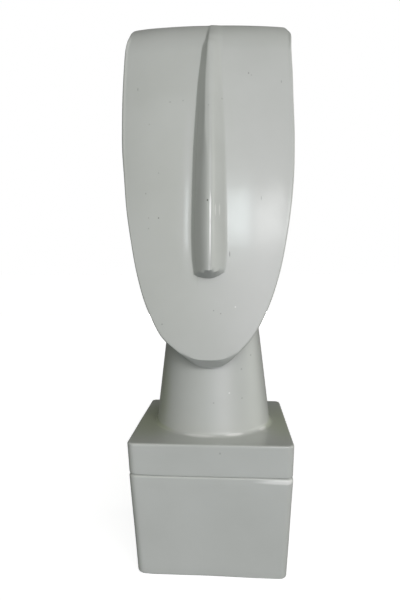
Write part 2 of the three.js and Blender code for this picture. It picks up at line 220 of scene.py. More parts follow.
def make_piece(name: str, vertices: Array, faces: list[list[int]]) -> bpy.types.Object:
    """Puts vertices, given in millimetres, and faces into a new smooth object.

    Args:
        name: the piece's name.
        vertices: one row of x, y and z for each vertex.
        faces: vertex numbers of each face, outward side first.

    Returns:
        The object, linked to the scene, at the origin.
    """
    mesh = bpy.data.meshes.new(name)
    mesh.from_pydata((vertices * MM).tolist(), [], faces)
    mesh.update()
    mesh.polygons.foreach_set("use_smooth", np.ones(len(mesh.polygons), bool))
    piece = bpy.data.objects.new(name, mesh)
    bpy.context.scene.collection.objects.link(piece)
    return piece


def mark_creases(piece: bpy.types.Object, degrees: float) -> None:
    """Keeps edges crisp where two faces meet at more than this angle."""
    piece.data.set_sharp_from_angle(angle=np.radians(degrees))


def union(piece: bpy.types.Object, other: bpy.types.Object) -> None:
    """Joins another closed piece into this one, and removes the other.

    Args:
        piece: the piece that stays.
        other: the piece that it takes in.
    """
    tool = piece.modifiers.new("join", "BOOLEAN")
    tool.operation = "UNION"
    tool.solver = "MANIFOLD"
    tool.object = other
    graph = bpy.context.evaluated_depsgraph_get()
    joined = bpy.data.meshes.new_from_object(piece.evaluated_get(graph))
    piece.modifiers.clear()
    old = piece.data
    piece.data = joined
    joined.name = old.name
    bpy.data.meshes.remove(old)
    bpy.data.objects.remove(other)


# Sub-assemblies


@dataclass
class Head:
    """The shield-shaped head with its long wedge nose, leaning back.

    The outlines are points of half width and height, read from the head's
    middle, which itself stands a little aside. Left and right are the
    photograph's.
    """

    top_z: float = 617.3
    chin_z: float = 220.0
    waist_z: float = 450.0
    top_right: tuple = ((26, 617.0), (52, 616.8), (71, 616.8))
    top_left: tuple = ((26, 618.8), (50, 620.2), (67, 621.5))
    corner_right: tuple = ((84.5, 616.8), (92.6, 616.0), (95.4, 610.8), (97.4, 601.4))
    corner_left: tuple = ((81, 622.2), (92.9, 620.6), (95.6, 613.4), (94.9, 602.2))
    side: tuple = (
        (96.8, 579), (97.8, 548), (98.1, 515), (98.1, 488), (97.2, 461), (95.1, 426),
        (91.5, 391.6), (86.1, 357.8), (79.1, 324.4), (68.7, 291.6), (58.8, 270.2),
        (50.6, 256), (43.4, 247.3), (35.2, 240), (28, 233.5), (21.4, 227.4),
        (15.5, 223.4), (9.7, 221.1), (4.7, 220.3), (0, 220.0),
    )
    left_trim_z: tuple = (280.0, 301.0, 324.0, 350.0, 370.0, 392.0, 415.0, 440.0, 461.0, 490.0)
    left_trim: tuple = (0.1, 0.4, 0.9, 1.0, 0.8, 0.5, 0.6, 0.0, -0.6, 0.0)
    half_width: float = 98.1
    outline_steps: int = 96
    even_pace: float = 0.15
    jaw_mark: tuple = (68.0, 288.0)
    corner_mark_right: tuple = (94.6, 613.2)
    corner_mark_left: tuple = (95.2, 615.6)
    aside_chin: float = -1.5
    aside_low: float = -4.3
    aside_top: float = -6.3
    aside_low_z: tuple = (226.0, 256.0)
    aside_top_z: tuple = (420.0, 530.0)

    face_foot_z: float = 222.4
    face_head_z: float = 606.4
    face_chin_y: float = -72.0
    face_lean: float = 0.19
    face_belly: float = 4.0
    face_plan_radius: float = 390.0
    edge_radius: float = 3.2
    jaw_edge_radius: float = 2.0
    jaw_edge_z: tuple = (380.0, 470.0)
    top_roll: float = 5.0
    top_roll_z: tuple = (588.0, 612.6)
    top_lean_z: float = 574.5
    top_lean: float = 1.0
    hollow_depth: float = 1.5
    hollow_width: float = 8.0
    hollow_past: float = 4.0
    hollow_z: tuple = (300.0, 360.0, 470.0, 540.0)
    chin_bevel: float = 8.1
    chin_bevel_depth: float = 9.0
    chin_bevel_half: float = 31.0
    chin_reach_z: float = 262.0

    back_y: float = 79.5
    back_hollow: float = 24.0
    back_plan_radius: float = 400.0
    back_round: float = 14.0
    back_shrink: float = 0.965
    back_jaw_shrink: float = 0.42
    back_top_drop: float = 5.0
    back_jaw_rise: float = 48.0

    nose_z: tuple = (
        321, 327, 335, 348, 367.5, 400, 434, 462, 491, 514, 537.5, 561, 576, 581, 586, 594, 606,
    )
    nose_left: tuple = (
        -18.5, -19, -20, -20.9, -21.4, -21.2, -20.7, -20, -18.5, -17.2, -15.6, -13, -11.4, -10.3,
        -8.5, -7.2, -5.8,
    )
    nose_flank_top: tuple = (
        -6.8, -7.1, -7.5, -7.9, -8.1, -8.2, -8.0, -7.4, -7.0, -6.9, -6.7, -5.7, -4.9, -4.6,
        -4.3, -3.7, -2.6,
    )
    nose_ridge: tuple = (
        0.4, 0.6, 0.9, 1.2, 1.4, 1.4, 1.2, 0.9, 0.4, 0.0, -0.3, -0.6, -0.6, -0.6,
        -0.5, -0.1, 0.5,
    )
    nose_right: tuple = (
        14.6, 15.5, 16.2, 16.6, 16.5, 16, 15.6, 15.1, 14.1, 12.9, 11.9, 11.2, 10.6, 10.5,
        10.5, 10.5, 10.4,
    )
    nose_flank_slope: float = 1.5
    nose_crest_slope: float = 0.25
    nose_soft_z: tuple = (430.0, 492.0)
    nose_flank_round: tuple = (7.0, 1.2)
    nose_ridge_round: tuple = (5.5, 5.0)
    nose_foot_x: tuple = (-22, -18.5, -15.8, -11.5, -5.1, 1.3, 7.7, 14.1, 18)
    nose_foot_z: tuple = (322.2, 320.8, 319.4, 318.1, 317.1, 317.3, 319.5, 322.8, 324.6)
    nose_under_slope: float = 3.3
    nose_under_round: float = 2.6
    nose_fade: float = 0.62
    nose_fade_z: tuple = (588.0, 607.0)
    nose_roll_share: float = 0.5
    nose_roll_rise: float = 0.5
    left_crease: float = 0.9
    right_crease: float = 1.6

    columns: int = 132
    rows: int = 176
    density_samples: int = 400
    nose_columns: tuple = (3.2, -0.03, 0.24)
    top_rows: tuple = (1.6, 0.05)
    foot_rows: tuple = (4.5, 0.897, 0.022)
    chin_rows: tuple = (0.8, 6)
    chin_bend: int = 3
    foot_spread: tuple = (45.0, 20.0)
    edge_turns: int = 12
    side_steps: int = 16
    back_turns: int = 8

    def aside(self, z: Array) -> Array:
        """Gives how far the head's middle stands aside at a height."""
        upper = self.aside_low + (self.aside_top - self.aside_low) * smooth_step(*self.aside_top_z, z)
        return self.aside_chin + (upper - self.aside_chin) * smooth_step(*self.aside_low_z, z)

    def face_y(self, x: Array, z: Array) -> Array:
        """Gives the face's depth without the nose.

        A plane leaning back, pushed forward by a parabola between chin and
        top, falling back to both sides as a circle of large radius, and
        rolling back more and more steeply toward the top edge.

        Args:
            x: place across, from the head's middle.
            z: height.

        Returns:
            The depth, y.
        """
        s = (z - self.face_foot_z) / (self.face_head_z - self.face_foot_z)
        belly = self.face_belly * 4 * s * (1 - s)
        lean = self.face_lean * (z - self.face_foot_z)
        above = np.clip(z - self.top_lean_z, 0, None)
        roll = self.top_lean * above**2 / (2 * (self.top_z - self.top_roll - self.top_lean_z))
        return self.face_chin_y + lean - belly + x * x / (2 * self.face_plan_radius) + roll

    def hollow(self, x: Array, z: Array) -> Array:
        """Gives the depth of the soft hollow beside the nose's left crease.

        A bell across, centred on the crease, times a smooth rise and fall
        along the height.

        Args:
            x: place across, from the plinth's middle.
            z: height.

        Returns:
            The depth below the plain face.
        """
        left = smooth_through(self.nose_z, self.nose_left, z)
        low, lower, upper, high = self.hollow_z
        run = smooth_step(low, lower, z) * (1 - smooth_step(upper, high, z))
        bell = np.exp(-(((x - left) / self.hollow_width) ** 2))
        return self.hollow_depth * run * bell * (x < left + self.hollow_past)

    def back_depth(self, x: Array, z: Array) -> Array:
        """Gives the depth of the back, which comes forward at the nape and to both sides."""
        s = (self.top_z - z) / (self.top_z - self.chin_z - self.back_jaw_rise)
        return self.back_y - self.back_hollow * s * s - x * x / (2 * self.back_plan_radius)

    def nose_height(self, x: Array, z: Array) -> Array:
        """Gives how far the nose stands off the face.

        Three planes bound it across: a steep flank that rises from the left
        crease, a nearly level crest, and a plane that falls from the ridge to
        the right crease. The lowest of the three counts, rounded where they
        meet. A steep plane cuts the nose off under its tip.

        Args:
            x: place across, from the plinth's middle.
            z: height.

        Returns:
            The height off the face, 0 away from the nose.
        """
        left, top, ridge, right = (
            smooth_through(self.nose_z, line, z)
            for line in (self.nose_left, self.nose_flank_top, self.nose_ridge, self.nose_right)
        )
        upper = smooth_step(*self.nose_soft_z, z)
        flank_round, ridge_round = (
            low + (high - low) * upper for low, high in (self.nose_flank_round, self.nose_ridge_round)
        )
        flank_height = self.nose_flank_slope * (top - left)
        ridge_height = flank_height + self.nose_crest_slope * (ridge - top)
        flank = self.nose_flank_slope * (x - left)
        crest = flank_height + self.nose_crest_slope * (x - top)
        fall = (right - x) * ridge_height / (right - ridge)
        body = soft_min(soft_min(crest, fall, ridge_round), flank, flank_round)
        foot = smooth_through(self.nose_foot_x, self.nose_foot_z, x)
        body = soft_min(body, (z - foot) * self.nose_under_slope, self.nose_under_round)
        crease = self.left_crease + (self.right_crease - self.left_crease) * smooth_step(left, right, x)
        return soft_floor(body, crease) * (1 - self.nose_fade * smooth_step(*self.nose_fade_z, z))

    def left_side(self) -> list[tuple]:
        """Gives the left side's outline: the right side's, less the left trim at each height."""
        x, z = np.array(self.side[:-1], float).T
        return list(zip(x - np.interp(z, self.left_trim_z, self.left_trim), z))

    def outline(self, across: Array, down: Array) -> Array:
        """Samples the front view's outline at the grid's edge stations.

        Args:
            across: the columns' shares.
            down: the rows' shares.

        Returns:
            Points of half width and height, along the top, down the right
            side, back along the jaw and up the left side.
        """
        right = (*self.top_right, *self.corner_right, *self.side)
        left = (*self.top_left, *self.corner_left, *self.left_side())
        knots = np.array([(0.0, self.top_z), *right, *((-x, z) for x, z in reversed(left))], float)
        fine = closed_curve(knots, self.outline_steps)

        def nearest(x: float, z: float) -> int:
            """Finds the sample closest to a point."""
            return int(np.hypot(fine[:, 0] - x, fine[:, 1] - z).argmin())

        def stretch(start: int, stop: int, shares: Array, axis: int) -> Array:
            """Places stations between two samples, mostly by their share along one axis.

            Args:
                start: the first sample.
                stop: the last sample, further along the outline.
                shares: the stations' shares, from 0 to 1.
                axis: 0 to share out the width, 1 the height.

            Returns:
                The stations' points, without the last.
            """
            stop = stop if stop > start else stop + len(fine)
            run = fine[np.arange(start, stop + 1) % len(fine)]
            along = np.abs(run[:, axis] - run[0, axis]) / abs(run[-1, axis] - run[0, axis])
            along = np.maximum.accumulate(along)
            step = np.concatenate(([0.0], np.cumsum(np.linalg.norm(np.diff(run, axis=0), axis=1))))
            even = step / step[-1]
            pace = (1 - self.even_pace) * along + self.even_pace * even
            return np.stack([np.interp(shares[:-1], pace, run[:, c]) for c in (0, 1)], axis=-1)

        top_left = nearest(-self.corner_mark_left[0], self.corner_mark_left[1])
        top_right = nearest(*self.corner_mark_right)
        jaw_right = nearest(*self.jaw_mark)
        jaw_left = nearest(-self.jaw_mark[0], self.jaw_mark[1])
        return np.concatenate((
            stretch(top_left, top_right, across, 0),
            stretch(top_right, jaw_right, down, 1),
            stretch(jaw_right, jaw_left, 1 - across[::-1], 0),
            stretch(jaw_left, top_left, 1 - down[::-1], 1),
        ))

    def drawn_in(self, line: Array, share: Array) -> Array:
        """Draws the outline in by a share of the edge rounding.

        Widths and heights shrink in proportion, so that the corners keep
        their shape; under the chin the line rises by the bevel as well.

        Args:
            line: points of half width and height.
            share: how far, from 0 for not at all to 1 for the whole edge.

        Returns:
            The smaller outline.
        """
        x, z = line[:, 0], line[:, 1]
        side = self.side_radius(z) * share
        roll = self.top_roll * share
        upper = self.waist_z + (z - self.waist_z) * (1 - roll / (self.top_z - self.waist_z))
        lower = self.waist_z - (self.waist_z - z) * (1 - side / (self.waist_z - self.chin_z))
        lower = lower + self.chin_bevel * share * self.chin_share(line)
        height = np.where(z > self.waist_z, upper, lower)
        return np.stack((x * (1 - side / self.half_width), height), axis=-1)

    def side_radius(self, z: Array) -> Array:
        """Gives the face edge's radius at a height: smaller along the jaw."""
        upper = smooth_step(*self.jaw_edge_z, z)
        return self.jaw_edge_radius + (self.edge_radius - self.jaw_edge_radius) * upper

    def chin_share(self, line: Array) -> Array:
        """Gives how much of the bevel under the chin an outline point has."""
        near = np.clip(1 - (line[:, 0] / self.chin_bevel_half) ** 2, 0, 1)
        return np.where(line[:, 1] < self.chin_reach_z, near, 0.0)

    def back_outline(self, line: Array) -> Array:
        """Gives the outline of the back: narrower, lower at the top, higher at the nape.

        The nape's rise and the narrowing toward it grow with the square of
        the depth below the waist, the top's drop in proportion above it.

        Args:
            line: the front's outline, points of half width and height.

        Returns:
            The back's outline.
        """
        x, z = line[:, 0], line[:, 1]
        low = np.clip((self.waist_z - z) / (self.waist_z - self.chin_z), 0, None)
        high = np.clip((z - self.waist_z) / (self.top_z - self.waist_z), 0, None)
        width = self.back_shrink - self.back_jaw_shrink * low**2
        height = z + self.back_jaw_rise * low**2 - self.back_top_drop * high
        return np.stack((x * width, height), axis=-1)

    def shrunk(self, line: Array, amount: float) -> Array:
        """Shrinks an outline toward the head's middle by about this amount.

        Args:
            line: points of half width and height.
            amount: how much nearer the furthest points come.

        Returns:
            The smaller outline.
        """
        x, z = line[:, 0], line[:, 1]
        span = np.where(z > self.waist_z, self.top_z - self.waist_z, self.waist_z - self.chin_z)
        height = self.waist_z + (z - self.waist_z) * (1 - amount / span)
        return np.stack((x * (1 - amount / self.half_width), height), axis=-1)

    def placed(self, line: Array, depth: Array) -> Array:
        """Turns points of half width and height, with their depths, into x, y and z."""
        return np.stack((line[..., 0] + self.aside(line[..., 1]), depth, line[..., 1]), axis=-1)

    def build(self) -> tuple[Array, list[list[int]]]:
        """Builds the closed head.

        Two grids, the face and the back, are joined by rings that run from
        the face's rim to the back's.

        Returns:
            The vertices in millimetres, and the faces.
        """
        across, down = self.grid_shares()
        line = self.outline(across, down)
        rim = self.drawn_in(line, np.ones(len(line)))
        front = self.front_grid(rim, across, down)
        inner = filled(self.shrunk(self.back_outline(line), self.back_round), across, down)
        rear = self.placed(inner, self.back_depth(inner[..., 0], inner[..., 1]))

        ids = np.arange(front.shape[0] * front.shape[1]).reshape(front.shape[:2])
        blocks = [front.reshape(-1, 3)]
        faces = [grid_faces(ids)[:, ::-1]]
        ring = grid_rim(ids)
        count = ids.size
        for layer in self.rim_rings(line, rim):
            following = np.arange(count, count + len(layer))
            blocks.append(layer)
            faces.append(ring_faces(ring, following))
            ring = following
            count += len(layer)
        ids = np.arange(count, count + rear.shape[0] * rear.shape[1]).reshape(rear.shape[:2])
        blocks.append(rear.reshape(-1, 3))
        faces.append(ring_faces(ring, grid_rim(ids)))
        faces.append(grid_faces(ids))
        return np.concatenate(blocks), np.concatenate(faces).tolist()

    def front_grid(self, rim: Array, across: Array, down: Array) -> Array:
        """Gives the face with its nose.

        Its depth is the plain face's, less the nose's height, plus the
        hollow's depth.

        Args:
            rim: the face's rim, points of half width and height.
            across: the columns' shares.
            down: the rows' shares.

        Returns:
            Rows by columns by x, y and z.
        """
        face = self.fill_shaped(rim, across, down)
        face[..., 1] += self.foot_shift(face[..., 0] + self.aside(face[..., 1]), face[..., 1])
        x = face[..., 0] + self.aside(face[..., 1])
        z = face[..., 1]
        depth = self.face_y(face[..., 0], z) - self.nose_height(x, z) + self.hollow(x, z)
        return self.placed(face, depth)

    def rim_rings(self, line: Array, rim: Array) -> list[Array]:
        """Gives the rings between the face and the back.

        First round the face's edge, a quarter circle that starts turned back
        by the face's own lean at the top, and is flat under the chin; then
        straight along the sides; then a quarter circle round the back's
        edge. The nose's end rides over the top edge and dies out on it.

        Args:
            line: the outline, points of half width and height.
            rim: the outline drawn in by the whole edge.

        Returns:
            The rings of x, y and z, from front to back.
        """
        edge = self.face_y(rim[:, 0], rim[:, 1])
        chin = self.chin_share(line)
        top = smooth_step(*self.top_roll_z, line[:, 1])
        side = self.side_radius(line[:, 1])
        back = self.back_outline(line)
        back_edge = self.back_depth(*self.shrunk(back, self.back_round).T) - self.back_round
        rim_x = rim[:, 0] + self.aside(rim[:, 1])
        ledge = self.nose_height(rim_x, rim[:, 1]) * (rim[:, 1] > self.waist_z)
        start = np.arctan(self.top_lean + self.face_lean) * top
        full = np.cos(start) / (1 - np.sin(start))
        reach = side * (1 - top) + self.top_roll * full * top + self.chin_bevel_depth * chin
        rings = []
        for turn in np.linspace(0, 1, self.edge_turns + 1)[1:]:
            a = start + turn * (np.pi / 2 - start)
            share = (1 - np.sin(a)) / (1 - np.sin(start)) * (1 - chin) + (1 - turn) * chin
            fall = (np.cos(start) - np.cos(a)) / np.cos(start) * (1 - chin) + turn * chin
            ring = self.placed(self.drawn_in(line, share), edge + reach * fall)
            proud = ledge * (1 - smooth_step(0, self.nose_roll_share, turn))
            ring[:, 1] -= proud * np.cos(a)
            ring[:, 2] += proud * np.sin(a) * self.nose_roll_rise
            rings.append(ring)
        for along in np.linspace(0, 1, self.side_steps + 1)[1:]:
            depth = edge + reach + (back_edge - edge - reach) * along
            rings.append(self.placed(line + (back - line) * along, depth))
        for turn in np.linspace(0, 1, self.back_turns + 1)[1:-1]:
            a = turn * np.pi / 2
            inner = self.shrunk(back, self.back_round * (1 - np.cos(a)))
            rings.append(self.placed(inner, back_edge + self.back_round * np.sin(a)))
        return rings

    def grid_shares(self) -> tuple[Array, Array]:
        """Spreads the face grid's columns and rows.

        Columns crowd in a flat-topped bell over the nose. Rows crowd at the
        top edge, at the nose's foot and toward the chin.

        Returns:
            The columns' shares from left to right and the rows' shares from
            top to bottom, both from 0 to 1.
        """
        u = np.linspace(-1, 1, self.density_samples)
        amount, middle, spread = self.nose_columns
        over_nose = amount * np.exp(-(((u - middle) / spread) ** 4))
        v = np.linspace(0, 1, self.density_samples)
        amount, spread = self.top_rows
        at_top = amount * np.exp(-((v / spread) ** 2))
        amount, middle, spread = self.foot_rows
        at_foot = amount * np.exp(-(((v - middle) / spread) ** 2))
        amount, power = self.chin_rows
        at_chin = amount * v**power
        return stations(self.columns, 1 + over_nose), stations(self.rows, 1 + at_top + at_foot + at_chin)

    def foot_shift(self, x: Array, z: Array) -> Array:
        """Moves the rows near the nose's foot so that they run along it.

        The foot line's departure from its middle height, weighted by a bell
        round that height, so that far rows stay where they are.

        Args:
            x: place across, from the plinth's middle.
            z: height.

        Returns:
            How far each point moves up.
        """
        middle = float(np.mean(self.nose_foot_z))
        line = smooth_through(self.nose_foot_x, self.nose_foot_z, x) - middle
        wide, high = self.foot_spread
        beside = np.exp(-((x / wide) ** 4))
        return line * beside * np.exp(-(((z - middle) / high) ** 2))

    def fill_shaped(self, rim: Array, across: Array, down: Array) -> Array:
        """Fills the face so that its rows stay level and only sag near the chin.

        Widths follow a plain fill; heights are the sides' heights plus the
        top line's and the jaw line's own departures, which fade by a power
        of the share down.

        Args:
            rim: the face's rim, points of half width and height.
            across: the columns' shares.
            down: the rows' shares.

        Returns:
            The grid of half widths and heights.
        """
        grid = filled(rim, across, down)
        nu, nv = len(across) - 1, len(down) - 1
        trip = np.concatenate((rim, rim[:1]))
        top = trip[: nu + 1, 1]
        right = trip[nu : nu + nv + 1, 1]
        bottom = trip[nu + nv : 2 * nu + nv + 1, 1][::-1]
        left = trip[2 * nu + nv : 2 * nu + 2 * nv + 1, 1][::-1]
        a, b = across[None, :], down[:, None] ** self.chin_bend
        sides = (1 - a) * left[:, None] + a * right[:, None]
        top_own = top - ((1 - across) * top[0] + across * top[-1])
        bottom_own = bottom - ((1 - across) * bottom[0] + across * bottom[-1])
        grid[..., 1] = sides + (1 - b) * top_own[None, :] + b * bottom_own[None, :]
        return grid


@dataclass
class Slab:
    """A square slab that narrows downward, with rounded edges that vary along it."""

    foot_z: float
    top_z: float
    top_half: float
    taper: float
    left_trim: tuple
    right_trim: tuple
    foot_radius: float
    top_radius: float
    front_foot: tuple = ()
    front_top: tuple = ()
    corner_radii: tuple = (7.5, 6.5, 8.0, 8.0)
    side_stations: int = 56
    corner_stations: int = 10
    edge_stations: int = 8
    height_steps: int = 13
    front_share: tuple = (0.6, 0.95)
    ripple: float = 0.12
    ripple_x: float = 17.0
    ripple_x_rise: float = 23.0
    ripple_y: float = 21.0
    ripple_y_rise: float = 31.0

    def half_at(self, z: Array) -> Array:
        """Gives the half width at a height, before the trims."""
        return self.top_half - self.taper * (self.top_z - z)

    def square(self, z: Array) -> tuple[Array, Array]:
        """Gives level squares with round corners, one ring for each height.

        The corners run counter-clockwise from the back right: back right,
        back left, front left, front right, each with its own radius.

        Args:
            z: heights of the rings.

        Returns:
            Rings by stations by x and y, and each station's outward direction.
        """
        half = self.half_at(z)
        rise = (z - self.foot_z) / (self.top_z - self.foot_z)
        left, right = (low + (high - low) * rise for low, high in (self.left_trim, self.right_trim))
        quarter = np.linspace(0, np.pi / 2, self.corner_stations + 1)
        signs = ((1, 1), (-1, 1), (-1, -1), (1, -1))
        arcs = []
        normals = []
        for k, ((sx, sy), radius) in enumerate(zip(signs, self.corner_radii)):
            a = quarter + k * np.pi / 2
            reach = half - np.where(sx > 0, right, left)
            middle = np.stack((sx * (reach - radius), sy * (half - radius)), axis=-1)
            way = np.stack((np.cos(a), np.sin(a)), axis=-1)
            arcs.append(middle[:, None] + radius * way[None])
            normals.append(np.broadcast_to(way[None], arcs[-1].shape))
        steps = np.linspace(0, 1, self.side_stations + 1)[1:-1][None, :, None]
        rings, ways = [], []
        for k in range(4):
            start, stop = arcs[k][:, -1:], arcs[(k + 1) % 4][:, :1]
            rings += [arcs[k], start + (stop - start) * steps]
            flat = normals[k][:, -1:]
            ways += [normals[k], np.broadcast_to(flat, (len(z), steps.shape[1], 2))]
        return np.concatenate(rings, axis=1), np.concatenate(ways, axis=1)

    def rounding(self, plain: float, front: tuple, ring: Array) -> Array:
        """Gives an edge's radius at each station.

        Along the front it follows its own list of places and radii; past the
        front corners it goes over into the plain radius.

        Args:
            plain: the radius at the sides and the back.
            front: places across and the radii there, or nothing.
            ring: the stations, x and y.

        Returns:
            One radius for each station.
        """
        if not front:
            return np.full(len(ring), plain)
        places, radii = np.array(front, float).T
        own = np.interp(ring[:, 0], places, radii)
        return plain + (own - plain) * smooth_step(*self.front_share, -ring[:, 1] / self.top_half)

    def wall(self) -> Array:
        """Gives the slab's side as rings, from foot to top.

        Both edges are quarter circles: at the turn a the foot's edge stands
        in by r (1 - sin a) and up by r (1 - cos a). A slow ripple keeps the
        sides from being dead flat.

        Returns:
            Rings by stations by x, y and z.
        """
        a = np.linspace(0, np.pi / 2, self.edge_stations)[:, None]
        outline, _ = self.square(np.array([self.foot_z, self.top_z]))
        foot = self.rounding(self.foot_radius, self.front_foot, outline[0])[None]
        top = self.rounding(self.top_radius, self.front_top, outline[1])[None]
        low_z, low_in = self.foot_z + foot * (1 - np.cos(a)), foot * (1 - np.sin(a))
        high_z, high_in = self.top_z - top * (1 - np.sin(a)), top * (1 - np.cos(a))
        share = np.linspace(0, 1, self.height_steps + 1)[1:-1, None]
        mid_z = low_z[-1:] + (high_z[:1] - low_z[-1:]) * share
        z = np.concatenate((low_z, mid_z, high_z))
        inset = np.concatenate((low_in, np.zeros_like(mid_z), high_in))
        low_ring, low_way = self.square(np.array([self.foot_z]))
        high_ring, _ = self.square(np.array([self.top_z]))
        rise = ((z - self.foot_z) / (self.top_z - self.foot_z))[..., None]
        flat = low_ring + (high_ring - low_ring) * rise
        across = np.sin(flat[..., 0] / self.ripple_x + z / self.ripple_x_rise + 1)
        deep = np.sin(flat[..., 1] / self.ripple_y - z / self.ripple_y_rise)
        wave = self.ripple * across * deep - self.ripple
        flat = flat + low_way * (wave - inset)[..., None]
        return np.concatenate((flat, z[..., None]), axis=-1)


@dataclass
class NeckAndCap:
    """The round tapering neck and the square slab that caps the plinth, one surface."""

    slab: Slab = field(default_factory=lambda: Slab(
        foot_z=SEAM_Z, top_z=145.5, top_half=87.3, taper=0.0456,
        left_trim=(0.1, -0.2), right_trim=(0.1, 0.5), foot_radius=1.0, top_radius=2.2,
        front_foot=((-86, 3.0), (-60, 1.0), (86, 1.0)),
    ))
    neck_y: float = 4.0
    foot_radius: float = 67.3
    slope: float = 0.1197
    fillet: tuple = (3.0, 5.0)
    fillet_side: float = -40.0
    top_z: float = 318.0
    top_steps: int = 11
    fillet_turns: int = 8
    cone_steps: int = 59

    def build(self) -> tuple[Array, list[list[int]]]:
        """Builds the closed surface.

        Rings run up the slab's side, in over its top while the square turns
        into the neck's circle, round the hollow fillet and up the cone.

        Returns:
            The vertices in millimetres, and the faces.
        """
        wall = self.slab.wall()
        edge = wall[-1]
        angle = np.arctan2(edge[:, 1], edge[:, 0])
        circle = np.stack((np.cos(angle), np.sin(angle)), axis=-1)
        fillet = self.fillet_at(angle)

        def round_ring(radius: Array, z: Array) -> Array:
            """Gives one level ring of the neck."""
            flat = np.array([0.0, self.neck_y]) + np.reshape(radius, (-1, 1)) * circle
            return np.column_stack((flat, np.broadcast_to(z, len(circle))))

        zf = self.slab.top_z
        outer = round_ring(self.foot_radius + fillet, zf)
        top = [edge + (outer - edge) * t for t in np.linspace(0, 1, self.top_steps + 1)[1:]]
        foot = []
        for a in np.linspace(0, np.pi / 2, self.fillet_turns + 1)[1:]:
            rise, flare = fillet * (1 - np.cos(a)), fillet * (1 - np.sin(a))
            foot.append(round_ring(self.foot_radius + flare - self.slope * rise, zf + rise))
        cone = []
        for share in np.linspace(0, 1, self.cone_steps + 1)[1:]:
            z = zf + fillet + (self.top_z - zf - fillet) * share
            cone.append(round_ring(self.foot_radius - self.slope * (z - zf), z))
        return closed_stack(np.stack([*wall, *top, *foot, *cone]))

    def fillet_at(self, angle: Array) -> Array:
        """Gives the hollow's radius round the neck's foot, largest to one side."""
        low, high = self.fillet
        return low + (high - low) * 0.5 * (1 + np.cos(angle - np.radians(self.fillet_side)))


def closed_stack(rings: Array) -> tuple[Array, list[list[int]]]:
    """Closes a stack of level rings with a flat face at each end.

    Args:
        rings: rings by stations by x, y and z, the lowest first, counter-clockwise.

    Returns:
        The vertices and the faces.
    """
    ids = np.arange(rings.shape[0] * rings.shape[1]).reshape(rings.shape[:2])
    bands = [ring_faces(low, high) for low, high in zip(ids[:-1], ids[1:])]
    faces = np.concatenate(bands).tolist()
    faces.append(ids[0, ::-1].tolist())
    faces.append(ids[-1].tolist())
    return rings.reshape(-1, 3), faces


@dataclass
class PlinthBlock:
    """The square block under the seam."""

    slab: Slab = field(default_factory=lambda: Slab(
        foot_z=0.0, top_z=SEAM_Z, top_half=85.727, taper=0.0578,
        left_trim=(0.9, -0.3), right_trim=(-1.0, -0.6), foot_radius=2.4, top_radius=2.6,
        front_foot=(
            (-80, 3.8), (-72, 3.6), (-62, 2.0), (-30, 2.2), (0, 2.8), (25, 1.8), (45, 0.8), (86, 0.8),
        ),
        front_top=((-86, 2.6), (48, 2.6), (75, 4.6), (86, 5.0)),
    ))

    def build(self) -> tuple[Array, list[list[int]]]:
        """Builds the closed block from its foot to its flat top."""
        return closed_stack(self.slab.wall())


# Finishes


class MarkKind(Enum):
    """The kinds of mark, by the names of their masks: pits, painted shade, and pale specks with painted
    highlights.
    """

    PIT = "Pits"
    # painted shade
    PAINTED_SHADE = "Painted shade"
    # pale specks, and painted highlights
    PALE_SPECK_AND_HIGHLIGHT = "Pale specks and painted highlights"


@dataclass(frozen=True)
class Mark:
    """One small mark on the glaze, a pit, a pale speck, a painted highlight or painted shade: an oval
    round a place, with a soft rim.
    """

    kind: MarkKind
    place: tuple
    half_width: float
    half_height: float
    strength: float = 1.0
    half_depth: float = 9.0
    core: float = 0.35


